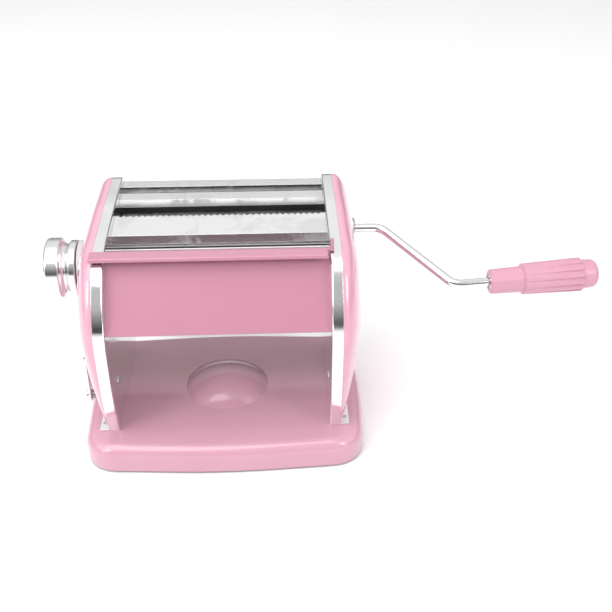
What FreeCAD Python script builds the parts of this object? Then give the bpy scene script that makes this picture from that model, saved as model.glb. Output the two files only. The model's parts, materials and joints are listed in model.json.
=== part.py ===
# Manual pasta roller machine, in millimetres.
# X runs along the rollers (+X is the crank's side), the user stands at -Y, +Z is up.
# The origin is the middle of the base, on the surface that the machine stands on.
import FreeCAD, Part
import math
import os
import re
import Sketcher

V = FreeCAD.Vector
doc = FreeCAD.newDocument("pasta_roller_machine")

# ---------------------------------------------------------------- driving dimensions
dims = doc.addObject("Spreadsheet::Sheet", "dims")
driving = {
    # base
    "base_half_width": 101, "base_front": 70, "base_rear": 69, "base_bulge": 4,
    "base_corner": 24, "base_bottom": 2, "base_top": 22, "base_edge": 8, "base_sheet": 1.2,
    "dome_radius": 32, "dome_rise": 9.5, "dome_y": 4,
    # side plates
    "plate_gap": 154, "plate_sheet": 1.2, "rim_width": 8, "rim_edge": 1.6,
    "foot_flange": 7, "foot_length": 30,
    # side covers
    "cover_reach": 14, "cover_wall": 1.6,
    # rollers: axes seen from the side, front one adjustable, rear one driven
    "front_y": 27.5, "front_z": 117.6, "rear_y": 56, "rear_z": 130,
    "roller_radius": 14.7, "roller_length": 152.6, "shaft_radius": 6, "gap_travel": 1.4,
    "running_fit": 0.05, "gear_start": 85.4, "gear_width": 6,
    "tooth_tip": 16.6, "tooth_root": 12.3, "tooth_top_width": 1.5, "tooth_root_width": 3.4,
    "bush_radius": 8.5, "block_width": 16, "block_length": 20,
    # crank
    "rod_radius": 3.4, "crank_start": 93.4, "crank_elbow": 122, "crank_knee": 172.5,
    "crank_throw": 55.5, "crank_bend": 13, "crank_turn": 66.6, "grip_tilt": 4.3,
    "grip_start": 199, "grip_length": 82, "flute_ring": 12.9, "flute_radius": 1.5,
    "socket_radius": 8.2, "socket_start": 91.6,
    # thickness knob and its shaft
    "knob_y": 9, "knob_z": 127.3, "knob_radius": 22, "knob_back": 101.8, "knob_face": 124.2,
    "spindle_radius": 3, "cam_radius": 9, "cam_width": 4, "follower_radius": 2.5,
    "detent_ring": 15, "detent_radius": 1.4,
    # top plates
    "top_sheet": 1.2, "guard_front": 5.6, "guard_teeth": 32.8, "guard_z": 156,
    "rear_guard_front": 56.5, "rear_guard_back": 68.5, "bar_front": 76, "bar_back": 87,
    "notch_count": 34, "notch_radius": 1.45, "flange_drop": 7,
    # front panel
    "panel_bottom_y": 55, "panel_bottom_z": 109,
    "panel_top_y": 24, "panel_top_z": 153, "lip_left": 86.6, "lip_right": 75.5,
    # suction foot
    "pad_radius": 37, "lever_z": 14.5, "cam_throw": 2.1, "stem_radius": 5,
    "cam_shaft_radius": 3.5, "lever_x": 106.2, "foot_radius": 8, "tie_radius": 3,
}
for row, (alias, amount) in enumerate(driving.items(), start=1):
    dims.set("A%d" % row, alias)
    dims.set("B%d" % row, str(amount))
    dims.setAlias("B%d" % row, alias)
doc.recompute()

PLATE_IN = "plate_gap / 2"
PLATE_OUT = "(plate_gap / 2 + rim_width)"
COVER_FACE = "(plate_gap / 2 + rim_width + cover_reach)"
ROLLER_TILT = "atan((rear_z - front_z) / (rear_y - front_y))"


def formula(text):
    """The text with the sheet's name in front of each of its aliases."""
    return re.sub(r"[a-z][a-z_]+", lambda m: "dims." + m.group() if m.group() in driving else m.group(), text)


def size(text):
    """The value of a formula."""
    return float(dims.evalExpression(formula(text)))


def bind(obj, **formulas):
    for name, text in formulas.items():
        obj.setExpression(name, formula(text))


def place(obj, x="0", y="0", z="0"):
    for axis, text in (("x", x), ("y", y), ("z", z)):
        if text != "0":
            obj.setExpression("Placement.Base." + axis, formula(text))
    return obj


# ---------------------------------------------------------------- sketches and bodies
def new_body(label):
    body = doc.addObject("PartDesign::Body", label)
    body.Label = label
    return body


def origin_item(body, role):
    return [item for item in body.Origin.OriginFeatures if item.Role == role][0]


def new_sketch(body, plane, offset="0"):
    """A sketch on one of the body's own origin planes, moved along its normal."""
    sketch = body.newObject("Sketcher::SketchObject", body.Name + "_sketch")
    sketch.AttachmentSupport = [(origin_item(body, plane), "")]
    sketch.MapMode = "FlatFace"
    if offset != "0":
        sketch.setExpression("AttachmentOffset.Base.z", formula(offset))
    return sketch


def pin(sketch, geometry, end, x, y):
    """Holds one end of a line or arc at a place given by two formulas."""
    for kind, text in (("DistanceX", x), ("DistanceY", y)):
        index = sketch.addConstraint(Sketcher.Constraint(kind, -1, 1, geometry, end, size(text)))
        sketch.setExpression("Constraints[%d]" % index, formula(text))


def draw_outline(sketch, corners):
    """A closed outline. Each corner is (x, y), or (x, y, radius) where the edge that arrives there
    is an arc: a positive radius turns to the left along the way, a negative one to the right."""
    spots = [V(size(corner[0]), size(corner[1]), 0) for corner in corners]
    first = sketch.GeometryCount
    ends = []
    for index, start in enumerate(spots):
        following = (index + 1) % len(spots)
        stop = spots[following]
        if len(corners[following]) == 2:
            sketch.addGeometry(Part.LineSegment(start, stop))
            ends.append((1, 2))
            continue
        radius_text = corners[following][2]
        radius = size(radius_text)
        chord = stop - start
        side = V(-chord.y, chord.x, 0).normalize() * math.copysign(1, radius)
        reach = math.sqrt(max(0, radius ** 2 - (chord.Length / 2) ** 2))
        centre = (start + stop) * 0.5 + side * reach
        angles = [math.atan2(spot.y - centre.y, spot.x - centre.x) for spot in (start, stop)]
        turn = (1, 2) if radius > 0 else (2, 1)
        low, high = angles if radius > 0 else reversed(angles)
        if high < low:
            high += 2 * math.pi
        sketch.addGeometry(Part.ArcOfCircle(Part.Circle(centre, V(0, 0, 1), abs(radius)), low, high))
        index_radius = sketch.addConstraint(
            Sketcher.Constraint("Radius", first + index, abs(radius)))
        sketch.setExpression("Constraints[%d]" % index_radius, formula("abs(%s)" % radius_text))
        ends.append(turn)
    for index in range(len(spots)):
        following = (index + 1) % len(spots)
        sketch.addConstraint(Sketcher.Constraint(
            "Coincident", first + index, ends[index][1], first + following, ends[following][0]))
        pin(sketch, first + index, ends[index][0], corners[index][0], corners[index][1])


def draw_rounded(sketch, corners):
    """A closed outline of straight runs. A corner is (x, y), or (x, y, radius) where it is rounded."""
    spots = [V(size(corner[0]), size(corner[1]), 0) for corner in corners]
    count = len(spots)
    lead = []
    for index, corner in enumerate(corners):
        before = (spots[index - 1] - spots[index]).normalize()
        after = (spots[(index + 1) % count] - spots[index]).normalize()
        half = before.getAngle(after) / 2
        lead.append(size(corner[2]) / math.tan(half) if len(corner) == 3 else 0)
    lines = []
    for index, start in enumerate(spots):
        following = (index + 1) % count
        way = (spots[following] - start).normalize()
        lines.append(sketch.addGeometry(
            Part.LineSegment(start + way * lead[index], spots[following] - way * lead[following])))
    for index, corner in enumerate(corners):
        arriving = lines[index - 1]
        leaving = lines[index]
        if len(corner) == 2:
            sketch.addConstraint(Sketcher.Constraint("Coincident", arriving, 2, leaving, 1))
            pin(sketch, leaving, 1, corner[0], corner[1])
            continue
        radius = size(corner[2])
        before = (spots[index - 1] - spots[index]).normalize()
        after = (spots[(index + 1) % count] - spots[index]).normalize()
        inward = (before + after).normalize()
        centre = spots[index] + inward * math.hypot(radius, lead[index])
        ends = [spots[index] + before * lead[index], spots[index] + after * lead[index]]
        left = after.cross(before).z > 0
        low, high = [math.atan2(end.y - centre.y, end.x - centre.x) for end in (ends if left else ends[::-1])]
        if high < low:
            high += 2 * math.pi
        arc = sketch.addGeometry(Part.ArcOfCircle(Part.Circle(centre, V(0, 0, 1), radius), low, high))
        first, last = (1, 2) if left else (2, 1)
        sketch.addConstraint(Sketcher.Constraint("Tangent", arriving, 2, arc, first))
        sketch.addConstraint(Sketcher.Constraint("Tangent", arc, last, leaving, 1))
        held = sketch.addConstraint(Sketcher.Constraint("Radius", arc, radius))
        sketch.setExpression("Constraints[%d]" % held, formula(corner[2]))
        tip = sketch.addGeometry(Part.Point(spots[index]), True)
        sketch.addConstraint(Sketcher.Constraint("PointOnObject", tip, 1, arriving))
        sketch.addConstraint(Sketcher.Constraint("PointOnObject", tip, 1, leaving))
        pin(sketch, tip, 1, corner[0], corner[1])


def draw_circle(sketch, x, y, radius):
    geometry = sketch.addGeometry(Part.Circle(V(size(x), size(y), 0), V(0, 0, 1), size(radius)))
    index = sketch.addConstraint(Sketcher.Constraint("Radius", geometry, size(radius)))
    sketch.setExpression("Constraints[%d]" % index, formula(radius))
    pin(sketch, geometry, 3, x, y)


def feature(body, kind, sketch, **formulas):
    made = body.newObject("PartDesign::" + kind, body.Name + "_" + kind.lower())
    made.Profile = sketch
    bind(made, **formulas)
    return made


def padded(label, plane, corners, start, length, backwards=False):
    """A body made by padding one closed outline."""
    body = new_body(label)
    sketch = new_sketch(body, plane, start)
    draw_outline(sketch, corners)
    pad = feature(body, "Pad", sketch, Length=length)
    pad.Reversed = backwards
    return body


def turned(label, profile, y, z):
    """A body turned about a line along X. The profile is (x, radius) corners."""
    body = new_body(label)
    sketch = new_sketch(body, "XZ_Plane")
    draw_outline(sketch, profile)
    revolution = feature(body, "Revolution", sketch)
    revolution.ReferenceAxis = (sketch, ["H_Axis"])
    revolution.Angle = 360
    return place(body, "0", y, z)


def drilled(body, plane, offset, circles, reverse=False, length=None):
    """Cuts round holes (x, y, radius) into a body, through it all or to a length."""
    sketch = new_sketch(body, plane, offset)
    for circle in circles:
        draw_circle(sketch, *circle)
    pocket = feature(body, "Pocket", sketch)
    if length:
        bind(pocket, Length=length)
    else:
        pocket.Type = 1
        pocket.Midplane = True
    pocket.Reversed = reverse
    return pocket


# ---------------------------------------------------------------- Part primitives
def rod(name, start, length, y, z, radius):
    """A cylinder along X from a starting x."""
    made = doc.addObject("Part::Cylinder", name)
    made.Placement = FreeCAD.Placement(V(0, 0, 0), FreeCAD.Rotation(V(0, 1, 0), 90))
    bind(made, Radius=radius, Height=length)
    return place(made, start, y, z)


def post(name, x, y, z, radius, height):
    """An upright cylinder."""
    made = doc.addObject("Part::Cylinder", name)
    bind(made, Radius=radius, Height=height)
    return place(made, x, y, z)


def box(name, x, y, z, length, width, height):
    made = doc.addObject("Part::Box", name)
    bind(made, Length=length, Width=width, Height=height)
    return place(made, x, y, z)


def boolean(kind, label, base, tool):
    made = doc.addObject("Part::" + kind, label)
    made.Base = base
    made.Tool = tool
    made.Label = label
    return made


def joined(label, shapes):
    made = doc.addObject("Part::MultiFuse", label)
    made.Shapes = shapes
    made.Label = label
    return made


def group(label, shapes):
    """Separate solids that share one node."""
    made = doc.addObject("Part::Compound", label)
    made.Links = shapes
    made.Label = label
    return made


parts = []


def keep(obj):
    parts.append(obj)
    return obj


# ---------------------------------------------------------------- outlines
# Side plate, seen from +X: (y, z). Straight bottom, a leaning front edge that rounds over into
# the slightly crowned top, and a rear edge that leans back.
PLATE_OUTLINE = [
    ("-50", "base_top"), ("54", "base_top"), ("98", "104", "60"), ("94.5", "163.4", "13"),
    ("40", "162.2", "300"), ("-30", "157.3", "45"), ("-61", "115", "60"), ("-59", "60", "200"),
]
# Base outline, seen from above: rounded corners, and sides that bow outward.
BASE_OUTLINE = [
    ("-base_half_width", "-base_front", "base_corner"), ("0", "-base_front - 6", "600"),
    ("base_half_width", "-base_front", "base_corner"), ("base_half_width + base_bulge", "0", "500"),
    ("base_half_width", "base_rear", "base_corner"), ("0", "base_rear + 6", "600"),
    ("-base_half_width", "base_rear", "base_corner"), ("-base_half_width - base_bulge", "0", "500"),
]


# ---------------------------------------------------------------- base and suction foot
def turned_upright(label, profile, y):
    """A body turned about an upright line at x = 0. The profile is (radius, z) corners."""
    body = new_body(label)
    sketch = new_sketch(body, "XZ_Plane", "-(%s)" % y)
    draw_outline(sketch, profile)
    revolution = feature(body, "Revolution", sketch)
    revolution.ReferenceAxis = (sketch, ["V_Axis"])
    revolution.Angle = 360
    return body


def base_tray():
    body = new_body("tray_body")
    outline = new_sketch(body, "XY_Plane", "base_bottom")
    draw_rounded(outline, BASE_OUTLINE)
    pad = feature(body, "Pad", outline, Length="base_top - base_bottom")
    doc.recompute()
    top = ["Edge%d" % number for number, edge in enumerate(pad.Shape.Edges, start=1)
           if edge.BoundBox.ZMin > size("base_top") - 0.01]
    rounded = body.newObject("PartDesign::Fillet", "tray_edge")
    rounded.Base = (pad, top)
    bind(rounded, Radius="base_edge")
    doc.recompute()
    floor = ["Face%d" % number for number, face in enumerate(rounded.Shape.Faces, start=1)
             if face.BoundBox.ZMax < size("base_bottom") + 0.01]
    hollow = body.newObject("PartDesign::Thickness", "tray_sheet")
    hollow.Base = (rounded, floor)
    bind(hollow, Value="base_sheet")
    hollow.Reversed = True
    drilled(body, "XY_Plane", "base_top", [("0", "dome_y", "dome_radius - 0.5")])
    arc = "(dome_radius^2 + dome_rise^2) / (2 * dome_rise)"
    sketch = new_sketch(body, "XZ_Plane", "-dome_y")
    draw_outline(sketch, [
        ("dome_radius", "base_top - base_sheet", "-" + arc), ("dome_radius", "base_top"),
        ("0", "base_top + dome_rise", arc), ("0", "base_top + dome_rise - base_sheet")])
    dome = feature(body, "Revolution", sketch)
    dome.ReferenceAxis = (sketch, ["V_Axis"])
    dome.Angle = 360
    lever_hole = rod("lever_hole", "-lever_x - 4", "20", "dome_y", "lever_z", "cam_shaft_radius + running_fit")
    screws = joined("tray_screw_holes", [post("tray_screw_hole_%d" % n, x, y, "base_top - 4", "1.6", "8")
                                        for n, (x, y) in enumerate(PLATE_SCREWS)])
    tools = joined("tray_holes", [lever_hole, screws])
    return keep(boolean("Cut", "base_tray", body, tools))


PLATE_SCREWS = [(side + "(plate_gap / 2 + rim_width + 3.6)", y)
                for side in ("-", "") for y in ("-42", "-28", "32", "46")]


def plate_screws():
    solids = []
    for n, (x, y) in enumerate(PLATE_SCREWS):
        head = post("plate_screw_head_%d" % n, x, y, "base_top - base_sheet - 2", "3", "2")
        shank = post("plate_screw_shank_%d" % n, x, y, "base_top - base_sheet", "1.6", "base_sheet + plate_sheet")
        solids.append(joined("plate_screw_%d" % n, [head, shank]))
    return keep(group("plate_screws", solids))


def rubber_feet():
    solids = []
    for n, (x, y) in enumerate([("-74", "-44"), ("74", "-44"), ("-74", "42"), ("74", "42")]):
        solids.append(post("foot_%d" % n, x, y, "0", "foot_radius", "base_top - base_sheet"))
    return keep(group("rubber_feet", solids))


def suction_foot():
    housing = turned_upright("housing_body", [
        ("pad_radius - 7", "4.4"), ("pad_radius - 1", "4.4"),
        ("pad_radius - 1", "base_top - base_sheet"), ("pad_radius - 3", "base_top - base_sheet"),
        ("pad_radius - 3", "6"), ("pad_radius - 7", "6")], "dome_y")
    bore = rod("housing_bore", "-pad_radius - 5", "2 * pad_radius + 10", "dome_y", "lever_z",
               "cam_shaft_radius + running_fit")
    keep(boolean("Cut", "suction_housing", housing, bore))
    pad = turned_upright("suction_pad", [
        ("0", "0"), ("pad_radius - 2", "0"), ("pad_radius", "1.4", "1.8"), ("pad_radius", "4.4"),
        ("14", "4.4"), ("14", "9"), ("5.6", "9"), ("5.6", "7.8"), ("11.6", "7.8"), ("11.6", "1.8"),
        ("0", "1.8")], "dome_y")
    keep(pad)
    foot = post("stem_foot", "0", "dome_y", "2.1", "11.2", "2")
    neck = post("stem_neck", "0", "dome_y", "2.1", "stem_radius", "8")
    block = box("stem_block", "-4", "dome_y - 8", "9.4", "8", "16", "7.8")
    window = box("stem_window", "-5", "dome_y - 4.6", "lever_z - cam_throw * sin(45deg) - 2.35", "10", "9.2", "4.7")
    keep(boolean("Cut", "suction_stem", joined("stem_blank", [foot, neck, block]), window))
    outer = rod("cam_shaft_outer", "-lever_x", "lever_x - 8", "dome_y", "lever_z", "cam_shaft_radius")
    inner = rod("cam_shaft_inner", "8", "pad_radius - 5", "dome_y", "lever_z", "cam_shaft_radius")
    webs = [rod("cam_web_%d" % n, start, "2", "dome_y", "lever_z", "5.4") for n, start in enumerate(("-8", "6"))]
    journal = rod("cam_journal", "-7", "14", "dome_y + cam_throw * cos(45deg)",
                  "lever_z - cam_throw * sin(45deg)", "2")
    keep(joined("cam_shaft", [outer, inner, journal] + webs))
    lever = padded("suction_lever", "YZ_Plane", [
        ("dome_y - 6.2", "lever_z"), ("dome_y + 6.2", "lever_z", "6.3"), ("dome_y + 5.4", "52"),
        ("dome_y - 5.4", "52", "5.6")], "-lever_x - 2", "2")
    edge_bevel(lever, "0.5")
    keep(lever)
    keep(rod_node("lever_nut", "-lever_x - 4.4", "2.4", "dome_y", "lever_z", "3.6"))


def rod_node(label, start, length, y, z, radius):
    made = rod(label, start, length, y, z, radius)
    made.Label = label
    return made


def edge_bevel(body, radius):
    """Rounds every edge of the body a little."""
    doc.recompute()
    base = body.Tip
    rounded = body.newObject("PartDesign::Fillet", body.Name + "_edges")
    rounded.Base = (base, ["Edge1"])
    rounded.UseAllEdges = True
    bind(rounded, Radius=radius)
    return rounded


# ---------------------------------------------------------------- side plates and covers
def side_plate(side):
    """A pan of sheet: flat web inside, rim bent outward, and two foot flanges."""
    name = "right" if side > 0 else "left"
    body = new_body(name + "_pan")
    sketch = new_sketch(body, "YZ_Plane", PLATE_IN if side > 0 else "-" + PLATE_IN)
    draw_rounded(sketch, PLATE_OUTLINE)
    pad = feature(body, "Pad", sketch, Length="rim_width")
    pad.Reversed = side < 0
    doc.recompute()
    inner = side * size(PLATE_IN)
    edges = ["Edge%d" % n for n, edge in enumerate(pad.Shape.Edges, start=1)
             if abs(edge.BoundBox.XMin - inner) < 0.01 and abs(edge.BoundBox.XMax - inner) < 0.01
             and edge.BoundBox.ZMax > size("base_top") + 0.01]
    rounded = body.newObject("PartDesign::Fillet", name + "_pan_edge")
    rounded.Base = (pad, edges)
    bind(rounded, Radius="rim_edge")
    inset = doc.addObject("Part::Offset2D", name + "_pan_inset")
    inset.Source = sketch
    inset.Join = 2
    bind(inset, Value="-plate_sheet")
    hollow = doc.addObject("Part::Extrusion", name + "_pan_hollow")
    hollow.Base = inset
    hollow.DirMode = "Custom"
    hollow.Dir = V(side, 0, 0)
    hollow.Solid = True
    bind(hollow, LengthFwd="rim_width + 2")
    place(hollow, ("" if side > 0 else "-") + "plate_sheet")
    pan = boolean("Cut", name + "_pan_sheet", body, hollow)
    start = PLATE_OUT + " - 1" if side > 0 else "-(" + PLATE_OUT + " + foot_flange)"
    flanges = [box(name + "_flange_%d" % n, start, y, "base_top", "foot_flange + 1", "foot_length", "plate_sheet")
               for n, y in enumerate(("-50", "54 - foot_length"))]
    blank = joined(name + "_plate_blank", [pan] + flanges)
    web = PLATE_IN + " - 1" if side > 0 else "-" + PLATE_IN + " - 4"
    tools = [rod(name + "_bush_hole", web, "5", "rear_y", "rear_z", "bush_radius"),
             rod(name + "_spindle_hole", web, "5", "knob_y", "knob_z", "spindle_radius + running_fit")]
    tools += [rod(name + "_tie_hole_%d" % n, web, "5", y, z, "1.8") for n, (y, z) in enumerate(TIE_RODS)]
    tools += [rod(name + "_rivet_hole_%d" % n, web, "5", y, z, "1.6") for n, (y, z) in enumerate(RIVETS)]
    tools += [post(name + "_screw_hole_%d" % n, x, y, "base_top - 1", "1.6", "4")
              for n, (x, y) in enumerate(PLATE_SCREWS) if (side > 0) != x.startswith("-")]
    tools.append(tilted_box(name + "_slot", web, "5", "-block_length / 2 - 0.1", "block_length + gap_travel + 0.2",
                            "-block_width / 2 - running_fit", "block_width + 2 * running_fit"))
    return keep(boolean("Cut", name + "_side_plate", blank, joined(name + "_plate_holes", tools)))


def tilted_box(name, x, length, along, along_length, across, across_length):
    """A box turned about the front roller's axis, to lie along the line through both rollers."""
    made = doc.addObject("Part::Box", name)
    bind(made, Length=length, Width=along_length, Height=across_length)
    made.Placement = FreeCAD.Placement(V(0, 0, 0), FreeCAD.Rotation(V(1, 0, 0), 20))
    made.setExpression("Placement.Rotation.Angle", formula(ROLLER_TILT))
    cosine = "cos(" + ROLLER_TILT + ")"
    sine = "sin(" + ROLLER_TILT + ")"
    place(made, x, "front_y + (%s) * %s - (%s) * %s" % (along, cosine, across, sine),
          "front_z + (%s) * %s + (%s) * %s" % (along, sine, across, cosine))
    return made


TIE_RODS = [("12", "141.2"), ("4", "92"), ("77", "102")]
RIVETS = [("-33", "56"), ("58", "72")]


def cover_section(depth):
    """The cover's outline at a depth from 0, at the rim, to 1, at its outer face."""
    shrink = math.sqrt(1 - (0.80 * depth) ** 2.6)
    low_shrink = 1 - 0.62 * depth ** 1.25
    middle = V(0, 20, 104)
    floor = size("base_top") + 3
    flat = outline_points()
    spots = []
    for y, z in flat:
        z = max(z, floor)
        height = z - middle.z
        factor = shrink if height > 0 else low_shrink + (shrink - low_shrink) * (1 + height / (middle.z - floor))
        spots.append(V(0, middle.y + (y - middle.y) * (shrink * 0.6 + factor * 0.4), middle.z + height * factor))
    return spots


def outline_points():
    """Points along the plate's outline, without its straight bottom."""
    face = doc.getObject("right_pan_sketch").Shape
    edges = [edge for edge in face.Edges if edge.BoundBox.ZMax > size("base_top") + 0.01]
    wire = Part.Wire(Part.__sortEdges__(edges))
    points = wire.discretize(Number=49)
    if points[0].y < points[-1].y:
        points.reverse()
    return [(point.y, point.z) for point in points]


def cover_solid(side, inset):
    """A pillow-shaped solid: lofted sections of the plate's outline that shrink outward."""
    sections = []
    depths = (0, 0.16, 0.34, 0.52, 0.7, 0.86, 1)
    reach = size("cover_reach") - inset
    for depth in depths:
        points = cover_section(depth)
        scale = 1 - inset / 75
        points = [V(side * (size(PLATE_OUT) + reach * depth), 20 + (p.y - 20) * scale,
                    104 + (p.z - 104) * scale) for p in points]
        curve = Part.BSplineCurve()
        curve.interpolate(points)
        sections.append(Part.Wire([curve.toShape(), Part.LineSegment(points[-1], points[0]).toShape()]))
    return Part.makeLoft(sections, True, False)


def side_cover(side):
    name = "right" if side > 0 else "left"
    shell = doc.addObject("Part::Feature", name + "_cover_shell")
    shell.Shape = cover_solid(side, 0).cut(cover_solid(side, size("cover_wall")))
    start = PLATE_OUT if side > 0 else "-(" + PLATE_OUT + " + 20)"
    if side > 0:
        hole = rod("ferrule_hole", start, "20", "rear_y", "rear_z", "socket_radius + 1.4")
    else:
        hole = rod("dial_hole", start, "20", "knob_y", "knob_z", "knob_radius - 2")
    return keep(boolean("Cut", name + "_side_cover", shell, hole))


# ---------------------------------------------------------------- sheets between the side plates
def across(label, corners):
    """Sheet of one section, seen from +X, that reaches from plate to plate."""
    return padded(label, "YZ_Plane", corners, "-" + PLATE_IN, "plate_gap")


def folded(label, front, back, z_front, z_back, drop_front, drop_back):
    """A top plate: flat on top, with a flange folded down along its front and its back edge."""
    return across(label, [
        (front, z_front + " - " + drop_front), (front + " + top_sheet", z_front + " - " + drop_front),
        (front + " + top_sheet", z_front + " - top_sheet"),
        (back + " - top_sheet", z_back + " - top_sheet"), (back + " - top_sheet", z_back + " - " + drop_back),
        (back, z_back + " - " + drop_back), (back, z_back), (front, z_front)])


def top_plates():
    guard = across("front_guard_plate", [
        ("guard_front", "guard_z - 2 - flange_drop"), ("guard_front + top_sheet", "guard_z - 2 - flange_drop"),
        ("guard_front + top_sheet", "guard_z - 2 - top_sheet"), ("guard_teeth", "guard_z - top_sheet"),
        ("guard_teeth", "guard_z"), ("guard_front", "guard_z - 2")])
    notch = new_sketch(guard, "XY_Plane", "guard_z + 2")
    pitch = "((plate_gap - 5) / notch_count)"
    draw_circle(notch, "-" + PLATE_IN + " + 2.5 + %s / 2" % pitch, "guard_teeth", "notch_radius")
    cut = feature(guard, "Pocket", notch, Length="6")
    row = guard.newObject("PartDesign::LinearPattern", "notch_row")
    row.Originals = [cut]
    row.Direction = (origin_item(guard, "X_Axis"), [""])
    bind(row, Length=pitch + " * (notch_count - 1)", Occurrences="notch_count")
    guard.Tip = row
    keep(guard)
    keep(folded("rear_guard_plate", "rear_guard_front", "rear_guard_back", "guard_z + 1", "guard_z + 1",
                "(flange_drop - 1)", "4"))
    keep(folded("rear_top_bar", "bar_front", "bar_back", "guard_z + 2.6", "guard_z + 2.6", "5", "9"))


def front_panel():
    """Slanted apron, folded forward at its top into a lip over the rims, with a tab at the right."""
    apron = across("apron", [
        ("-panel_bottom_y - 0.3", "panel_bottom_z + 1.4"), ("-panel_bottom_y", "panel_bottom_z"),
        ("-panel_bottom_y + 3", "panel_bottom_z + 0.4"), ("-panel_bottom_y + 3", "panel_bottom_z + 1.6"),
        ("-panel_bottom_y + 1.1", "panel_bottom_z + 1.5"), ("-panel_top_y + 1.2", "panel_top_z"),
        ("-panel_top_y + 1.2", "panel_top_z + 4.4"), ("-panel_top_y - 1", "panel_top_z + 4.4"),
        ("-panel_top_y", "panel_top_z")])
    lip = padded("lip", "YZ_Plane", [
        ("-panel_top_y - 9.2", "panel_top_z + 1.6", "1.9"), ("-panel_top_y - 5.8", "panel_top_z + 2.2", "3.6"),
        ("-panel_top_y + 1.2", "panel_top_z + 3.2"), ("-panel_top_y + 1.2", "panel_top_z + 4.6"),
        ("-panel_top_y - 8.4", "panel_top_z + 4.2")], "-lip_left", "lip_left + lip_right")
    edge_bevel(lip, "0.5")
    tab = padded("lip_tab", "YZ_Plane", [
        ("-panel_top_y - 1", "panel_top_z + 4"), ("-panel_top_y + 8", "panel_top_z + 4.6"),
        ("-panel_top_y + 1.4", "panel_top_z + 11.5", "14"), ("-panel_top_y - 1", "panel_top_z + 11.5")],
        PLATE_IN + " + 0.2", "2.6")
    edge_bevel(tab, "0.6")
    bridge = box("lip_bridge", "lip_right - 1", "-panel_top_y - 1.6", "panel_top_z + 3.4",
                 PLATE_IN + " - lip_right + 4", "3", "1.4")
    return keep(joined("front_panel", [apron, lip, bridge, tab]))


def rear_panel():
    return keep(across("rear_panel", [
        ("87", "96"), ("88.2", "96"), ("88.2", "149"), ("86", "149.4"), ("86", "148.2"), ("87", "148")]))


def tie_rods():
    rods = [rod("tie_rod_%d" % n, "-" + PLATE_IN, "plate_gap", y, z, "tie_radius")
            for n, (y, z) in enumerate(TIE_RODS)]
    rods[0].Label = "front_tie_rod"
    keep(rods[0])
    keep(group("lower_tie_rods", rods[1:]))
    screws = []
    for side in (1, -1):
        for n, (y, z) in enumerate(TIE_RODS):
            name = "tie_screw_%d_%d" % (side, n)
            head_start = PLATE_IN + " + plate_sheet" if side > 0 else "-" + PLATE_IN + " - plate_sheet - 2.2"
            shank_start = PLATE_IN if side > 0 else "-" + PLATE_IN + " - plate_sheet"
            screws.append(joined(name, [rod(name + "_head", head_start, "2.2", y, z, "3.4"),
                                        rod(name + "_shank", shank_start, "plate_sheet", y, z, "1.8")]))
    keep(group("tie_rod_screws", screws))


def cover_rivets():
    rivets = []
    for side in (1, -1):
        for n, (y, z) in enumerate(RIVETS):
            name = "rivet_%d_%d" % (side, n)
            head = turned(name + "_head", [("0", "0"), ("0", "2.8"), ("-1.1", "1.6", "2.2"), ("-1.1", "0")], y, z)
            bind(head, **{"Placement.Base.x": PLATE_IN if side > 0 else "-" + PLATE_IN})
            if side < 0:
                head.Placement.Rotation = FreeCAD.Rotation(V(0, 0, 1), 180)
            shank = rod(name + "_shank", PLATE_IN if side > 0 else "-" + PLATE_IN + " - 5", "5", y, z, "1.6")
            rivets.append(joined(name, [head, shank]))
    keep(group("cover_rivets", rivets))


def scrapers():
    """Thin strips whose edges stop just short of the rollers."""
    for label, tip_y, tip_z, root_y, root_z in (
            ("front_scraper", "front_y - 5.4", "front_z - roller_radius + 0.2", "7", "93.4"),
            ("rear_scraper", "rear_y + 5.4", "rear_z - roller_radius + 0.2", "74", "103.4")):
        keep(across(label, [(tip_y, tip_z), (tip_y, tip_z + " - 0.9"), (root_y, root_z + " - 1"), (root_y, root_z)]
                    if label == "rear_scraper" else
                    [(tip_y, tip_z), (root_y, root_z), (root_y, root_z + " - 1"), (tip_y, tip_z + " - 0.9")]))


# ---------------------------------------------------------------- rollers, gears, bearings
def roller(label, left, right, y, z):
    end = "roller_length / 2"
    return keep(turned(label, [
        ("-" + left, "0"), ("-" + left, "shaft_radius - 0.6"), ("-%s + 0.6" % left, "shaft_radius"),
        ("-" + end, "shaft_radius"), ("-" + end, "roller_radius - 0.4"), ("-%s + 0.4" % end, "roller_radius"),
        (end + " - 0.4", "roller_radius"), (end, "roller_radius - 0.4"), (end, "shaft_radius"),
        (right, "shaft_radius"), (right, "0")], y, z))


def gear(label, y, z, half_step):
    """A straight gear on a roller's shaft, with deep teeth so that it still meshes when the gap opens."""
    body = new_body(label)
    disc = new_sketch(body, "YZ_Plane", "gear_start")
    draw_circle(disc, "0", "0", "tooth_root")
    feature(body, "Pad", disc, Length="gear_width")
    tooth = new_sketch(body, "YZ_Plane", "gear_start")
    draw_rounded(tooth, [
        ("tooth_root - 0.6", "-tooth_root_width / 2"), ("tooth_tip", "-tooth_top_width / 2", "0.3"),
        ("tooth_tip", "tooth_top_width / 2", "0.3"), ("tooth_root - 0.6", "tooth_root_width / 2")])
    pad = body.newObject("PartDesign::Pad", label + "_tooth")
    pad.Profile = tooth
    bind(pad, Length="gear_width")
    ring = body.newObject("PartDesign::PolarPattern", label + "_teeth")
    ring.Originals = [pad]
    ring.Axis = (origin_item(body, "X_Axis"), [""])
    ring.Angle = 360
    ring.Occurrences = TEETH
    body.Tip = ring
    drilled(body, "YZ_Plane", "gear_start", [("0", "0", "shaft_radius")])
    body.Placement = FreeCAD.Placement(V(0, 0, 0), FreeCAD.Rotation(V(1, 0, 0), 20))
    body.setExpression("Placement.Rotation.Angle", formula(ROLLER_TILT + half_step))
    place(body, "0", y, z)
    return keep(body)


TEETH = 16


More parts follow.
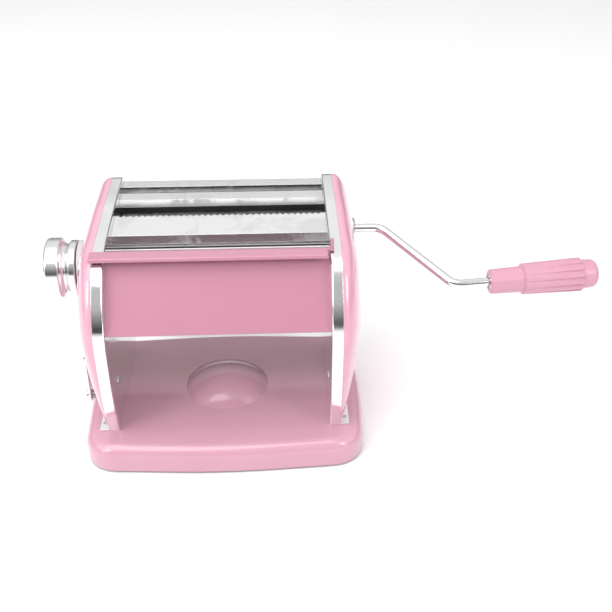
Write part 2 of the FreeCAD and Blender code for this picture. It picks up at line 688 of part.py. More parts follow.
def rollers():
    roller("front_roller", "81.5", "(gear_start + gear_width)", "front_y", "front_z")
    roller("rear_roller", "81.5", "(socket_start + 1.4)", "rear_y", "rear_z")
    gear("front_gear", "front_y", "front_z", " + 360deg / 32")
    gear("rear_gear", "rear_y", "rear_z", "")
    keep(turned("drive_socket", [
        ("socket_start", "shaft_radius"), ("socket_start + 1.4", "shaft_radius"),
        ("socket_start + 1.4", "rod_radius + running_fit"), ("socket_start + 9.5", "rod_radius + running_fit"),
        ("socket_start + 10", "rod_radius + 0.8"), ("socket_start + 10", "socket_radius - 0.6"),
        ("socket_start + 9.4", "socket_radius"), ("socket_start", "socket_radius")], "rear_y", "rear_z"))
    keep(turned("crank_ferrule", [
        (PLATE_OUT + " + 8", "socket_radius + 0.5"), (COVER_FACE + " + 0.6", "socket_radius + 0.5"),
        (COVER_FACE + " + 0.6", "socket_radius + 1.8"), (COVER_FACE + " + 0.1", "socket_radius + 2.3"),
        (COVER_FACE + " + 0.1", "socket_radius + 1.4"), (PLATE_OUT + " + 8", "socket_radius + 1.4")],
        "rear_y", "rear_z"))
    for side, name in ((1, "right"), (-1, "left")):
        inner = "%s(plate_gap / 2)" % ("" if side > 0 else "-")
        sign = "+" if side > 0 else "-"
        keep(turned(name + "_rear_bush", [
            (inner, "shaft_radius + running_fit"), (inner, "bush_radius"),
            (inner + sign + "plate_sheet", "bush_radius"), (inner + sign + "plate_sheet", "bush_radius + 2"),
            (inner + sign + "3.4", "bush_radius + 2"), (inner + sign + "3.4", "shaft_radius + running_fit")],
            "rear_y", "rear_z"))
        bearing_block(name, side)


FOLLOWER_ALONG = "((knob_y - front_y) * cos(TILT) + (knob_z - front_z) * sin(TILT) + cam_radius + follower_radius + 0.12)"
FOLLOWER_ACROSS = "((knob_z - front_z) * cos(TILT) - (knob_y - front_y) * sin(TILT))"


def bearing_block(name, side):
    """Slides in the plate's slot. Its arm carries the pin that the gap cam pushes."""
    along = FOLLOWER_ALONG.replace("TILT", ROLLER_TILT)
    upward = FOLLOWER_ACROSS.replace("TILT", ROLLER_TILT)
    x = PLATE_IN if side > 0 else "-" + PLATE_IN + " - 3.4"
    block = tilted_box(name + "_block", x, "3.4", "-block_length / 2", "block_length", "-block_width / 2", "block_width")
    arm_x = PLATE_IN + " + plate_sheet + 0.25" if side > 0 else "-" + PLATE_IN + " - 3.4"
    arm = tilted_box(name + "_arm", arm_x, "3.4 - plate_sheet - 0.25", along + " - 3.4", "6.8", "0", upward + " + 3.4")
    cosine = "cos(%s)" % ROLLER_TILT
    sine = "sin(%s)" % ROLLER_TILT
    pin_x = PLATE_IN + " + 2" if side > 0 else "-" + CAM_START + " - cam_width"
    follower = rod(name + "_follower", pin_x, "%s + cam_width - %s - 2" % (CAM_START, PLATE_IN),
                   "front_y + %s * %s - %s * %s" % (along, cosine, upward, sine),
                   "front_z + %s * %s + %s * %s" % (along, sine, upward, cosine), "follower_radius")
    bore = rod(name + "_bore", PLATE_IN + " - 1" if side > 0 else "-" + PLATE_IN + " - 5", "6",
               "front_y", "front_z", "shaft_radius + running_fit")
    keep(boolean("Cut", name + "_bearing_block", joined(name + "_block_blank", [block, arm, follower]), bore))


CAM_START = "(plate_gap / 2 + 3.8)"


# ---------------------------------------------------------------- thickness knob
DIAL_FACE = "(%s + 1.8)" % COVER_FACE
DIAL_STEPS = 8
KNOB_RANGE = 200


def gap_cam(name, side):
    """A spiral: its radius grows evenly by the gap's travel over the knob's turn."""
    tilt = math.atan2(size("rear_z - front_z"), size("rear_y - front_y"))
    start = side * size(CAM_START) - (size("cam_width") if side < 0 else 0)
    steps = 40
    sweep = math.radians(KNOB_RANGE + 30)
    points = []
    for step in range(steps + 1):
        turn = sweep * step / steps - math.radians(15)
        radius = size("cam_radius") + size("gap_travel") * turn / math.radians(KNOB_RANGE)
        angle = tilt - turn
        points.append(V(start, size("knob_y") + radius * math.cos(angle), size("knob_z") + radius * math.sin(angle)))
    curve = Part.BSplineCurve()
    curve.interpolate(points)
    centre = V(start, size("knob_y"), size("knob_z"))
    back = (points[0] + points[-1]) * 0.5
    bulge = centre + (centre - V(start, centre.y + math.cos(tilt - sweep / 2 + math.radians(15)),
                                 centre.z + math.sin(tilt - sweep / 2 + math.radians(15)))).normalize() * size("cam_radius")
    closing = Part.Arc(points[-1], bulge, points[0]).toShape()
    face = Part.Face(Part.Wire([curve.toShape(), closing]))
    cam = face.extrude(V(size("cam_width"), 0, 0))
    hole = Part.makeCylinder(size("spindle_radius"), size("cam_width"), centre, V(1, 0, 0))
    made = doc.addObject("Part::Feature", name)
    made.Label = name
    made.Shape = cam.cut(hole)
    return keep(made)


def knob_parts():
    keep(turned("adjusting_shaft", [
        ("-(knob_face - 6.4)", "0"), ("-(knob_face - 6.4)", "spindle_radius"),
        (CAM_START + " + cam_width + 1.5", "spindle_radius"), (CAM_START + " + cam_width + 1.5", "0")],
        "knob_y", "knob_z"))
    gap_cam("left_gap_cam", -1)
    gap_cam("right_gap_cam", 1)
    knob = turned("adjusting_knob", [
        ("-knob_back", "spindle_radius + running_fit"), ("-knob_back", "knob_radius - 3"),
        ("-knob_back - 1", "knob_radius - 1.8", "1.2"), ("-knob_back - 4.6", "knob_radius - 1.8"),
        ("-knob_back - 5.6", "knob_radius - 3", "1.3"), ("-knob_back - 8.4", "knob_radius - 4.4", "-6"),
        ("-knob_back - 11.5", "knob_radius - 0.8", "-4.6"), ("-knob_back - 12.6", "knob_radius", "1.6"),
        ("-knob_face + 2.4", "knob_radius"), ("-knob_face", "knob_radius - 2.4", "2.5"),
        ("-knob_face", "8.6"), ("-knob_face + 2.2", "8.6"), ("-knob_face + 2.2", "7.2"),
        ("-knob_back - 3.2", "7.2"), ("-knob_back - 3.2", "spindle_radius + running_fit")], "knob_y", "knob_z")
    drilled(knob, "YZ_Plane", "-knob_back", [("0", "-detent_ring", "detent_radius")], False, "2")
    keep(knob)
    keep(turned("knob_cap", [
        ("-knob_face + 2.2", "0"), ("-knob_face + 2.2", "8.6"), ("-knob_face", "8.6"),
        ("-knob_face - 0.6", "7.6"), ("-knob_face - 0.6", "0")], "knob_y", "knob_z"))
    keep(turned("spring_washer", [
        ("-knob_face + 7.6", "spindle_radius"), ("-knob_face + 7.6", "6.6"),
        ("-knob_face + 6.4", "6.6"), ("-knob_face + 6.4", "spindle_radius")], "knob_y", "knob_z"))
    keep(turned("knob_screw", [
        ("-knob_face + 6.4", "0"), ("-knob_face + 6.4", "4.2"), ("-knob_face + 4.4", "3.2", "2.4"),
        ("-knob_face + 4.4", "0")], "knob_y", "knob_z"))
    coil_spring()
    detent = rod("detent_pin", "-knob_back - 2", "knob_back + 2 - " + DIAL_FACE + " - 0.3",
                 "knob_y", "knob_z - detent_ring", "detent_radius")
    keep(detent)
    dial = rod("dial_blank", "-" + DIAL_FACE, "5.8", "knob_y", "knob_z", "knob_radius - 2")
    bore = rod("dial_bore", "-%s - 1" % DIAL_FACE, "9", "knob_y", "knob_z", "spindle_radius + 0.3")
    holes = []
    for n in range(DIAL_STEPS + 1):
        angle = "(%d * %d / %d * 1deg)" % (n, KNOB_RANGE, DIAL_STEPS)
        holes.append(rod("dial_hole_%d" % n, "-%s - 1" % DIAL_FACE, "2.2",
                         "knob_y + detent_ring * sin(%s)" % angle,
                         "knob_z - detent_ring * cos(%s)" % angle, "detent_radius + 0.2"))
    keep(boolean("Cut", "dial_plate", dial, joined("dial_holes", [bore] + holes)))


def coil_spring():
    """Compression spring round the shaft, between the knob's inner shoulder and the washer."""
    wire = 0.45
    radius = 5.4
    start = -size("knob_face") + 7.6 + wire
    length = -size("knob_back") - 3.2 - wire - start
    helix = Part.makeHelix(length / 5, length, radius)
    section = Part.Wire(Part.makeCircle(wire, V(radius, 0, 0), V(0, 1, 0)))
    coil = Part.Wire(helix.Edges).makePipeShell([section], True, True)
    coil.Placement = FreeCAD.Placement(V(start, size("knob_y"), size("knob_z")), FreeCAD.Rotation(V(0, 1, 0), 90))
    made = doc.addObject("Part::Feature", "knob_spring")
    made.Label = "knob_spring"
    made.Shape = coil
    return keep(made)


# ---------------------------------------------------------------- crank
def draw_bent(sketch, spots, radius):
    """An open path of straight runs joined by arcs of one radius, held where it is drawn."""
    points = [V(size(x), size(y), 0) for x, y in spots]
    start = points[0]
    for index in range(1, len(points) - 1):
        before = (points[index - 1] - points[index]).normalize()
        after = (points[index + 1] - points[index]).normalize()
        half = before.getAngle(after) / 2
        lead = size(radius) / math.tan(half)
        entry = points[index] + before * lead
        leave = points[index] + after * lead
        inward = (before + after).normalize()
        middle = points[index] + inward * (size(radius) / math.sin(half) - size(radius))
        sketch.addGeometry(Part.LineSegment(start, entry))
        sketch.addGeometry(Part.Arc(entry, middle, leave))
        start = leave
    sketch.addGeometry(Part.LineSegment(start, points[-1]))


def crank():
    """Drawn in its own plane, X along the rollers and down away from the axis, then turned round it."""
    body = new_body("crank_rod")
    tilt = "(grip_tilt * 1deg)"
    far = "(grip_start + (grip_length - 3.5) * cos(%s))" % tilt
    path = new_sketch(body, "XZ_Plane")
    draw_bent(path, [("crank_start", "0"), ("crank_elbow", "0"), ("crank_knee", "-crank_throw"),
                     (far, "-crank_throw + (%s - crank_knee) * tan(%s)" % (far, tilt))], "crank_bend")
    section = new_sketch(body, "YZ_Plane", "crank_start")
    draw_circle(section, "0", "0", "rod_radius")
    pipe = body.newObject("PartDesign::AdditivePipe", "crank_pipe")
    pipe.Profile = section
    pipe.Spine = path
    pipe.Mode = 0
    turn_round_axis(body, "rear_y", "rear_z")
    keep(body)
    grip()


def turn_round_axis(obj, y, z):
    obj.Placement = FreeCAD.Placement(V(0, 0, 0), FreeCAD.Rotation(V(1, 0, 0), -20))
    obj.setExpression("Placement.Rotation.Angle", formula("-crank_turn * 1deg"))
    place(obj, "0", y, z)


FLUTES = 14


def grip():
    """Fluted grip, built along its own axis and then set on the crank's last run."""
    body = new_body("crank_grip")
    sketch = new_sketch(body, "XZ_Plane")
    bore = "rod_radius + 0.08"
    draw_outline(sketch, [
        ("0", "5.2"), ("3", "5.2"), ("3", bore), ("grip_length - 3", bore), ("grip_length - 3", "0"),
        ("grip_length", "0"), ("grip_length", "6.4"), ("grip_length - 3.4", "10.6", "4.8"),
        ("grip_length - 12", "11.2"), ("grip_length - 12.8", "12.8"), ("25", "11.7"), ("24.2", "9.9"),
        ("1.2", "9.3"), ("0", "8.1", "1.7")])
    revolution = feature(body, "Revolution", sketch)
    revolution.ReferenceAxis = (sketch, ["H_Axis"])
    revolution.Angle = 360
    flutes = []
    for n in range(FLUTES):
        angle = "(%d * 360deg / %d)" % (n, FLUTES)
        flutes.append(("flute_ring * cos(%s)" % angle, "flute_ring * sin(%s)" % angle, "flute_radius"))
    drilled(body, "YZ_Plane", "23", flutes, True, "grip_length - 34")
    set_on_crank(body, "grip_start")
    keep(body)
    cap = turned("grip_washer", [
        ("0.4", "rod_radius"), ("2.4", "rod_radius"), ("2.4", "4.9"), ("0.4", "4.9")], "0", "0")
    set_on_crank(cap, "grip_start")
    keep(cap)


def set_on_crank(obj, start):
    """Moves a piece from the X axis to the crank's last run, at a distance along X."""
    turn = math.radians(size("crank_turn"))
    tilt = size("grip_tilt")
    along = size(start) - size("crank_knee")
    throw = size("crank_throw") - along * math.tan(math.radians(tilt))
    centre = V(size(start), size("rear_y") - throw * math.sin(turn), size("rear_z") - throw * math.cos(turn))
    rotation = FreeCAD.Rotation(V(1, 0, 0), -size("crank_turn")).multiply(FreeCAD.Rotation(V(0, 1, 0), -tilt))
    obj.Placement = FreeCAD.Placement(centre, rotation)


# ---------------------------------------------------------------- the whole machine
side_plate(1)
side_plate(-1)
doc.recompute()
side_cover(1)
side_cover(-1)
base_tray()
plate_screws()
rubber_feet()
suction_foot()
top_plates()
front_panel()
rear_panel()
tie_rods()
cover_rivets()
scrapers()
rollers()
knob_parts()
crank()

doc.recompute()
for obj in doc.Objects:
    if "Invalid" in obj.State or "Error" in obj.State:
        raise SystemExit("%s failed: %s" % (obj.Label, obj.State))
os.makedirs("parts", exist_ok=True)
for obj in parts:
    if obj.Shape.isNull() or not obj.Shape.isValid():
        raise SystemExit("%s has no valid shape" % obj.Label)
    obj.Shape.exportStep("parts/%s.step" % obj.Label)
    print("%-20s %d solids %9.1f mm3" % (obj.Label, len(obj.Shape.Solids), obj.Shape.Volume))
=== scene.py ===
# Pasta roller machine: finishes, the knob's spring, floor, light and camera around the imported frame.
import bpy
import bmesh
import json
import math
from mathutils import Matrix, Vector


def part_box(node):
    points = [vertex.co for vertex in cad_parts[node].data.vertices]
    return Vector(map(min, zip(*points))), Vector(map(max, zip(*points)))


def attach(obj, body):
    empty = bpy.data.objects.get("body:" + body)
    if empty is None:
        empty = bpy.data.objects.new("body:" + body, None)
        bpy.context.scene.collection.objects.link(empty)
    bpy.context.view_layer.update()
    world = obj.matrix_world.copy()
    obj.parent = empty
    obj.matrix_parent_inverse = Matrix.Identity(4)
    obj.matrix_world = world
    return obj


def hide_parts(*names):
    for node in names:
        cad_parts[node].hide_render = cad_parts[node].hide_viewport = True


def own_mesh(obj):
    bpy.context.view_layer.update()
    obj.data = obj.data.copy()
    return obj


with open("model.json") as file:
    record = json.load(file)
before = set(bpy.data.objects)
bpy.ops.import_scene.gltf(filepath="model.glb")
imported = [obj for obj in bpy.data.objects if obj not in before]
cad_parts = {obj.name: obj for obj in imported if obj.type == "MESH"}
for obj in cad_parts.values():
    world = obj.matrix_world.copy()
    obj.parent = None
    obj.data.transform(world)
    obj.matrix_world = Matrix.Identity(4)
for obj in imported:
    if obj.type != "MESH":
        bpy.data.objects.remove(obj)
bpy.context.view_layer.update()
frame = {"nodes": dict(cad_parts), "record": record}
nodes = frame["nodes"]
scene = bpy.context.scene
print("frame loaded:", len(nodes), "nodes")


# puts one shader node in a tree, with its inputs linked or set
def makeNode(tree, kind, inputs=None, **settings):
    node = tree.nodes.new(kind)
    for name, value in settings.items():
        setattr(node, name, value)
    for name, value in (inputs or {}).items():
        if isinstance(value, bpy.types.NodeSocket):
            tree.links.new(value, node.inputs[name])
        else:
            node.inputs[name].default_value = value
    return node


def mathNode(tree, operation, *values):
    return makeNode(tree, "ShaderNodeMath", dict(enumerate(values)), operation=operation).outputs[0]


def mixColor(tree, factor, first, second):
    colors = [(*value, 1.0) if isinstance(value, tuple) else value for value in (first, second)]
    node = makeNode(tree, "ShaderNodeMix", data_type="RGBA")
    for index, value in zip((0, 6, 7), (factor, *colors)):   # a color mix has its color sockets at 6 and 7
        if isinstance(value, bpy.types.NodeSocket):
            tree.links.new(value, node.inputs[index])
        else:
            node.inputs[index].default_value = value
    return node.outputs[2]


# maps low..high to newLow..newHigh and holds the ends
def spread(tree, value, low, high, newLow=0.0, newHigh=1.0):
    return makeNode(tree, "ShaderNodeMapRange", dict(enumerate((value, low, high, newLow, newHigh))),
                    clamp=True).outputs[0]


def noise(tree, place, **inputs):
    return makeNode(tree, "ShaderNodeTexNoise", {"Vector": place, **inputs}).outputs["Fac"]


def newGroup(name, inputs, outputs):
    tree = bpy.data.node_groups.new(name, "ShaderNodeTree")
    for label, default in inputs.items():
        socket = tree.interface.new_socket(label, in_out="INPUT", socket_type="NodeSocketFloat")
        socket.default_value = default
    for label in outputs:
        kind = "NodeSocketVector" if label == "soft" else "NodeSocketFloat"
        tree.interface.new_socket(label, in_out="OUTPUT", socket_type=kind)
    return tree, tree.nodes.new("NodeGroupInput"), tree.nodes.new("NodeGroupOutput")


# edges: how far the softened normal leans away from the flat one; the edge mask made from this lean carries a
# painted highlight on the edges
edgeSoftAndHighlight = {"samples": 6, "start": 0.03, "full": 0.25}


# gives a group its edge mask and its softened normal
def addEdges(tree, take, give):
    soft = makeNode(tree, "ShaderNodeBevel", {"Radius": take.outputs["edge"]}, samples=edgeSoftAndHighlight["samples"])
    flat = makeNode(tree, "ShaderNodeNewGeometry").outputs["Normal"]
    lean = makeNode(tree, "ShaderNodeVectorMath", {0: soft.outputs[0], 1: flat}, operation="DOT_PRODUCT")
    mask = spread(tree, mathNode(tree, "SUBTRACT", 1.0, lean.outputs["Value"]), edgeSoftAndHighlight["start"], edgeSoftAndHighlight["full"])
    tree.links.new(mask, give.inputs["edgeMask"])
    tree.links.new(soft.outputs[0], give.inputs["soft"])


# noise scales are in turns per metre
skinLook = {"driftScale": 14.0, "dustScale": 420.0, "dustStart": 0.62, "dustFull": 0.74}


# moulded or sprayed skin: slow colour drift, faint orange peel, dust, and an edge mask for a painted highlight on
# the edges
def skinGroup():
    tree, take, give = newGroup("paintSkin", {"peelSize": 900.0, "edge": 0.0006},
                                ("drift", "peel", "edgeMask", "dust", "soft"))
    place = makeNode(tree, "ShaderNodeTexCoord").outputs["Object"]
    slow = noise(tree, place, Scale=skinLook["driftScale"], Detail=3.0, Roughness=0.55)
    fine = noise(tree, place, Scale=take.outputs["peelSize"], Detail=2.0, Roughness=0.5)
    specks = noise(tree, place, Scale=skinLook["dustScale"], Detail=4.0, Roughness=0.7)
    tree.links.new(mathNode(tree, "SUBTRACT", slow, 0.5), give.inputs["drift"])
    tree.links.new(fine, give.inputs["peel"])
    tree.links.new(spread(tree, specks, skinLook["dustStart"], skinLook["dustFull"]), give.inputs["dust"])
    addEdges(tree, take, give)
    return tree


smudgeLook = {"distortion": 0.6, "start": 0.48, "full": 0.72}


# polished or ground metal: lines along one direction, smudges, and an edge mask for a painted highlight on the edges
def metalGroup():
    tree, take, give = newGroup(
        "metalSkin", {"lineX": 40.0, "lineY": 900.0, "lineZ": 900.0, "smudgeSize": 26.0, "edge": 0.0005},
        ("lines", "smudge", "edgeMask", "soft"))
    place = makeNode(tree, "ShaderNodeTexCoord").outputs["Object"]
    scales = makeNode(tree, "ShaderNodeCombineXYZ", {axis: take.outputs["line" + axis] for axis in "XYZ"})
    stretch = makeNode(tree, "ShaderNodeVectorMath", {0: place, 1: scales.outputs[0]}, operation="MULTIPLY")
    lines = noise(tree, stretch.outputs[0], Scale=1.0, Detail=4.0, Roughness=0.6)
    smudge = noise(tree, place, Scale=take.outputs["smudgeSize"], Detail=5.0, Roughness=0.6,
                   Distortion=smudgeLook["distortion"])
    tree.links.new(lines, give.inputs["lines"])
    tree.links.new(spread(tree, smudge, smudgeLook["start"], smudgeLook["full"]), give.inputs["smudge"])
    addEdges(tree, take, give)
    return tree


paintSkin = skinGroup()
metalSkin = metalGroup()


def startMaterial(name):
    material = bpy.data.materials.new(name)
    material.use_nodes = True
    tree = material.node_tree
    return material, tree, tree.nodes["Principled BSDF"]


def useGroup(tree, group, **values):
    node = makeNode(tree, "ShaderNodeGroup", node_tree=group)
    for name, value in values.items():
        node.inputs[name].default_value = value
    return node


# the bump sits on the softened normal, so that sheet edges catch the light
def addBump(tree, shader, skin, height, distance):
    bump = makeNode(tree, "ShaderNodeBump", {"Height": height, "Distance": distance, "Normal": skin.outputs["soft"]})
    tree.links.new(bump.outputs[0], shader.inputs["Normal"])


# sheet panels get painted shade on their inner side: a near-black tone stands for the shade inside the machine
insideShadeTone = {"color": (0.075, 0.07, 0.072), "start": 0.3, "full": 0.5}


# deep and pale are the two ends of the slow drift, the third colour is a painted highlight on the edges,
# and the last argument is the sign of Y on the inner side, which turns near black as painted shade
def paintMaterial(name, deep, pale, edgeHighlightColor, rough=0.2, dustRough=0.08, coat=0.0, coatRough=0.05, peelSize=900.0,
                  peelDepth=0.00002, edge=0.0006, edgeHighlightShare=0.5, specular=0.5, shadedSide=0.0):
    material, tree, shader = startMaterial(name)
    skin = useGroup(tree, paintSkin, peelSize=peelSize, edge=edge)
    color = mixColor(tree, spread(tree, skin.outputs["drift"], -0.25, 0.25), deep, pale)
    # painted highlight: edges shift towards the lighter edge colour
    color = mixColor(tree, mathNode(tree, "MULTIPLY", skin.outputs["edgeMask"], edgeHighlightShare), color, edgeHighlightColor)
    # painted shade: faces on the inner side of the sheet turn near black, standing for the shade inside the machine
    if shadedSide:
        flat = makeNode(tree, "ShaderNodeNewGeometry").outputs["Normal"]
        facing = makeNode(tree, "ShaderNodeSeparateXYZ", {0: flat}).outputs["Y"]
        insideShadeWeight = spread(tree, mathNode(tree, "MULTIPLY", facing, shadedSide), insideShadeTone["start"], insideShadeTone["full"])
        color = mixColor(tree, insideShadeWeight, color, insideShadeTone["color"])
    shine = mathNode(tree, "MULTIPLY_ADD", skin.outputs["dust"], dustRough, rough)
    tree.links.new(color, shader.inputs["Base Color"])
    tree.links.new(shine, shader.inputs["Roughness"])
    shader.inputs["Coat Weight"].default_value = coat
    shader.inputs["Coat Roughness"].default_value = coatRough
    shader.inputs["Specular IOR Level"].default_value = specular
    addBump(tree, shader, skin, skin.outputs["peel"], peelDepth)
    return material


# lineX, lineY and lineZ are low along the grinding direction; smudges dull the metal in patches
def metalMaterial(name, color, dull, rough=0.08, smudgeRough=0.15, lineX=40.0, lineY=900.0, lineZ=900.0,
                  lineDepth=0.000004, lineRough=0.06, smudgeSize=26.0, edge=0.0005, bright=(0.95, 0.95, 0.95),
                  metalEdgeHighlightShare=0.5):
    material, tree, shader = startMaterial(name)
    skin = useGroup(tree, metalSkin, lineX=lineX, lineY=lineY, lineZ=lineZ, smudgeSize=smudgeSize, edge=edge)
    tone = mixColor(tree, skin.outputs["smudge"], color, dull)
    # painted highlight: edges shift towards the lighter edge colour
    tone = mixColor(tree, mathNode(tree, "MULTIPLY", skin.outputs["edgeMask"], metalEdgeHighlightShare), tone, bright)
    shine = mathNode(tree, "MULTIPLY_ADD", skin.outputs["smudge"], smudgeRough, rough)
    shine = mathNode(tree, "MULTIPLY_ADD", skin.outputs["lines"], lineRough, shine)
    tree.links.new(tone, shader.inputs["Base Color"])
    tree.links.new(shine, shader.inputs["Roughness"])
    shader.inputs["Metallic"].default_value = 1.0
    addBump(tree, shader, skin, skin.outputs["lines"], lineDepth)
    return material


# the tray and the panels share one pink enamel: the tray's copy is lighter as painted light against the shade under
# the machine, the panels' copy darker as painted shade
trayPinkPaintedLight = {"deep": (0.58, 0.30, 0.38), "pale": (0.62, 0.325, 0.41), "edgeHighlightColor": (0.84, 0.48, 0.58)}
panelPinkPaintedShade = {"deep": (0.47, 0.20, 0.275), "pale": (0.50, 0.22, 0.30), "edgeHighlightColor": (0.80, 0.45, 0.55)}
enamelCoat = {"rough": 0.22, "coat": 0.6, "coatRough": 0.08, "peelDepth": 0.000025}
materials = {
    "enamel": paintMaterial("pinkEnamelShadedInside", **panelPinkPaintedShade, **enamelCoat, shadedSide=1.0),
    "tray_enamel_painted_light": paintMaterial("pinkTrayEnamelPaintedLight", **trayPinkPaintedLight, **enamelCoat),
    "rear_enamel_shaded_inside": paintMaterial("pinkRearEnamelShadedInside", **panelPinkPaintedShade, **enamelCoat, shadedSide=-1.0),
    "cover_plastic": paintMaterial(
        "pinkCoverGloss", (0.67, 0.32, 0.415), (0.71, 0.35, 0.45), (0.86, 0.55, 0.65),
        rough=0.16, coat=0.8, coatRough=0.04, peelSize=500.0),
    "grip_plastic": paintMaterial(
        "pinkGripPlastic", (0.58, 0.28, 0.37), (0.61, 0.305, 0.395), (0.76, 0.44, 0.54),
        rough=0.34, coat=0.15, peelSize=1500.0, peelDepth=0.00004),
    "plate_chrome": metalMaterial(
        "plateChrome", (0.88, 0.88, 0.88), (0.82, 0.82, 0.83), rough=0.07, lineX=600.0, lineY=50.0),
    "top_chrome": metalMaterial(
        "smudgedTopChrome", (0.90, 0.90, 0.90), (0.76, 0.76, 0.765), rough=0.12, smudgeRough=0.28,
        smudgeSize=34.0),
    "rod_chrome": metalMaterial(
        "rodChrome", (0.82, 0.82, 0.82), (0.78, 0.78, 0.79), rough=0.05, smudgeRough=0.06),
    "knob_chrome": metalMaterial(
        "satinKnobChrome", (0.80, 0.80, 0.80), (0.75, 0.75, 0.75), rough=0.14,
        lineX=1600.0, lineY=60.0, lineZ=60.0),
    "roller_steel": metalMaterial(
        "groundRollerSteel", (0.66, 0.66, 0.67), (0.58, 0.58, 0.6), rough=0.22,
        lineX=2600.0, lineY=40.0, lineZ=40.0, lineDepth=0.00001),
    "gear_steel": metalMaterial(
        "machinedSteel", (0.5, 0.5, 0.51), (0.42, 0.42, 0.43), rough=0.3, lineX=900.0, lineDepth=0.00001),
    "bearing_plastic": paintMaterial(
        "bearingPlastic", (0.72, 0.71, 0.66), (0.78, 0.77, 0.72), (0.85, 0.84, 0.8), rough=0.45, peelDepth=0.00004),
    "dial_plastic": paintMaterial(
        "dialPlastic", (0.52, 0.52, 0.52), (0.58, 0.58, 0.58), (0.7, 0.7, 0.7), rough=0.4, peelDepth=0.00004),
    "scraper_plastic": paintMaterial(
        "scraperPlastic", (0.78, 0.76, 0.70), (0.84, 0.82, 0.76), (0.9, 0.88, 0.84), rough=0.42, peelDepth=0.00004),
    "screw_steel": metalMaterial(
        "platedSteel", (0.62, 0.62, 0.63), (0.52, 0.52, 0.52), rough=0.25, smudgeSize=300.0),
    "spring_steel": metalMaterial(
        "drawnWire", (0.45, 0.45, 0.46), (0.38, 0.38, 0.4), rough=0.25, smudgeSize=300.0),
    "foot_rubber": paintMaterial(
        "blackRubber", (0.02, 0.02, 0.02), (0.035, 0.035, 0.035), (0.07, 0.07, 0.07),
        rough=0.65, peelSize=2200.0, peelDepth=0.00008, specular=0.3),
    "housing_plastic": paintMaterial(
        "blackHousing", (0.03, 0.03, 0.032), (0.045, 0.045, 0.047), (0.1, 0.1, 0.1), rough=0.5, peelDepth=0.00006),
}
slotOf = {part["node"]: part["material_slot"] for part in frame["record"]["subparts"]}
# the base tray takes the lighter painted-light copy of the enamel, the rear panel the copy with painted shade on its
# inner side
paintedLightCopies = {"base_tray": "tray_enamel_painted_light", "rear_panel": "rear_enamel_shaded_inside"}
for name, item in nodes.items():
    item.data.materials.clear()
    item.data.materials.append(materials[paintedLightCopies.get(name, slotOf[name])])
print("finishes placed:", len(materials))


# lengths in metres; endGap is in wire radii; keep is the spring's length when the knob is pulled right out
knobSpring = {"turns": 6, "wire": 0.00045, "steps": 28, "ringPoints": 10, "endGap": 1.4, "mergeGap": 0.000001,
              "keep": 0.65, "anchor": (-0.117, 0.0, 0.0)}


# a wire ring spun round the shaft and along it
def buildKnobSpring():
    low, high = (Vector(corner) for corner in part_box("knob_spring"))
    wire, turns = knobSpring["wire"], knobSpring["turns"]
    gap = wire * knobSpring["endGap"]
    middle = (low + high) / 2
    coil = (high.y - low.y) / 2 - wire
    length = high.x - low.x - 2 * gap
    count = turns * knobSpring["steps"]
    lead = math.atan2(length / turns, 2 * math.pi * coil)
    start = Matrix.Translation((low.x + gap, middle.y + coil, middle.z)) @ Matrix.Rotation(lead, 4, "Y")
    maker = bmesh.new()
    bmesh.ops.create_circle(maker, segments=knobSpring["ringPoints"], radius=wire, matrix=start)
    bmesh.ops.spin(maker, geom=maker.verts[:] + maker.edges[:], cent=middle, axis=(1, 0, 0),
                   dvec=(length / count, 0, 0), angle=2 * math.pi * turns, steps=count)
    bmesh.ops.holes_fill(maker, edges=[edge for edge in maker.edges if edge.is_boundary])
    bmesh.ops.remove_doubles(maker, verts=maker.verts, dist=knobSpring["mergeGap"])
    bmesh.ops.recalc_face_normals(maker, faces=maker.faces)
    for face in maker.faces:
        face.smooth = True
    mesh = bpy.data.meshes.new("knobSpringMesh")
    maker.to_mesh(mesh)
    maker.free()
    spring = bpy.data.objects.new("knobSpring", mesh)
    scene.collection.objects.link(spring)
    spring.data.materials.append(materials["spring_steel"])
    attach(spring, "knob_spindle")
    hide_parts("knob_spring")
    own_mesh(spring)
    print("knob spring built:", count, "steps")


buildKnobSpring()

# sizes in metres, powers in watts; each light is (name, place, target, width, height, power)
studio = {"floorSize": 12.0, "floorDark": (0.955, 0.955, 0.955), "floorPale": (0.97, 0.97, 0.97), "sky": 0.95}
lights = (
    ("keyLight", (-0.35, -0.35, 1.5), (0, 0, 0.05), 1.2, 1.2, 13.0),
    ("sideLight", (1.7, -0.4, 1.2), (0, 0, 0.08), 0.9, 0.9, 2.5),
    ("leftLight", (-1.2, -0.5, 0.8), (0, 0, 0.08), 0.7, 0.7, 2.5),
    ("frontLeftLight", (-0.95, -1.0, 1.1), (0, 0, 0.03), 0.5, 0.5, 5.0),
    ("frontRightLight", (0.95, -1.0, 1.1), (0, 0, 0.03), 0.5, 0.5, 5.0),
    ("leftStrip", (-1.05, -0.85, 0.45), (-0.08, 0, 0.1), 0.07, 0.9, 1.8),
    ("rightStrip", (1.05, -0.95, 0.45), (0.08, 0, 0.1), 0.07, 0.9, 1.8),
)


def layFloor():
    mesh = bpy.data.meshes.new("floorMesh")
    maker = bmesh.new()
    bmesh.ops.create_grid(maker, x_segments=1, y_segments=1, size=studio["floorSize"])
    maker.to_mesh(mesh)
    maker.free()
    floor = bpy.data.objects.new("studioFloor", mesh)
    scene.collection.objects.link(floor)
    material, tree, shader = startMaterial("paleFloor")
    place = makeNode(tree, "ShaderNodeTexCoord").outputs["Object"]
    mottle = noise(tree, place, Scale=30.0, Detail=3.0)
    tree.links.new(mixColor(tree, mottle, studio["floorDark"], studio["floorPale"]), shader.inputs["Base Color"])
    shader.inputs["Roughness"].default_value = 0.6
    shader.inputs["Specular IOR Level"].default_value = 0.2
    mesh.materials.append(material)


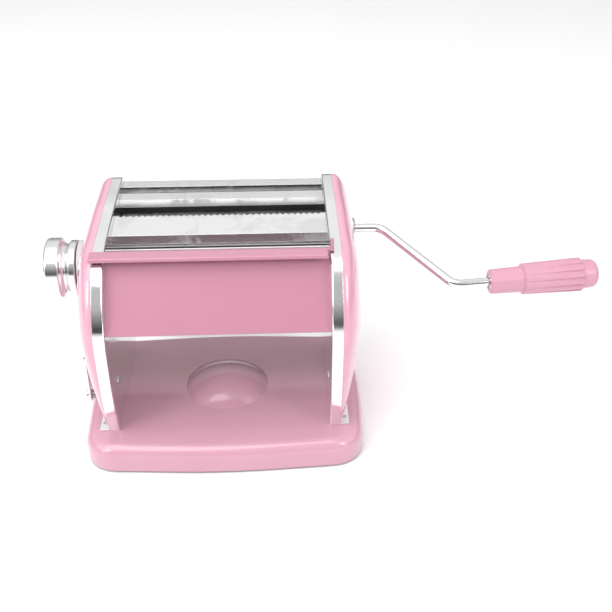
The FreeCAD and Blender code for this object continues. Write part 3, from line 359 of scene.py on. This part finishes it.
def addLight(name, place, target, width, height, power):
    data = bpy.data.lights.new(name, "AREA")
    data.shape = "RECTANGLE"
    data.size = width
    data.size_y = height
    data.energy = power
    lamp = bpy.data.objects.new(name, data)
    scene.collection.objects.link(lamp)
    lamp.location = place
    lamp.rotation_euler = (Vector(target) - Vector(place)).to_track_quat("-Z", "Y").to_euler()


# the sky is bright overhead and dark near the horizon, more so in front of the machine
def makeSky():
    world = bpy.data.worlds.new("softStudio")
    scene.world = world
    world.use_nodes = True
    tree = world.node_tree
    back = tree.nodes["Background"]
    way = makeNode(tree, "ShaderNodeTexCoord").outputs["Generated"]
    parts = makeNode(tree, "ShaderNodeSeparateXYZ", {0: way})
    height = spread(tree, parts.outputs["Z"], 0.1, 0.52, 0.1, 1.0)
    toFront = spread(tree, parts.outputs["Y"], -0.9, 0.1, 0.5, 1.0)
    tone = mixColor(tree, mathNode(tree, "MULTIPLY", height, toFront), (0.02, 0.02, 0.02), (1.0, 1.0, 1.0))
    tree.links.new(tone, back.inputs["Color"])
    back.inputs["Strength"].default_value = studio["sky"]


# angles in degrees; focal is the lens as a multiple of the frame's width
viewpoint = {"place": (0.03688, -0.56146, 0.45891), "pitch": 32.907, "yaw": 2.536, "roll": -0.1092,
             "sensor": 36.0, "focal": 900 / 612, "near": 0.01, "far": 100.0}


def placeCamera():
    pitch, yaw, roll = (math.radians(viewpoint[name]) for name in ("pitch", "yaw", "roll"))
    data = bpy.data.cameras.new("camera")
    data.sensor_width = viewpoint["sensor"]
    data.lens = viewpoint["focal"] * viewpoint["sensor"]
    data.clip_start = viewpoint["near"]
    data.clip_end = viewpoint["far"]
    camera = bpy.data.objects.new("camera", data)
    scene.collection.objects.link(camera)
    turn = (Matrix.Rotation(-yaw, 3, "Z") @ Matrix.Rotation(math.pi / 2 - pitch, 3, "X")
            @ Matrix.Rotation(-roll, 3, "Z"))
    camera.matrix_world = Matrix.Translation(viewpoint["place"]) @ turn.to_4x4()
    scene.camera = camera


layFloor()
makeSky()
for light in lights:
    addLight(*light)
placeCamera()
scene.view_settings.view_transform = "Standard"
print("floor, light and camera placed")
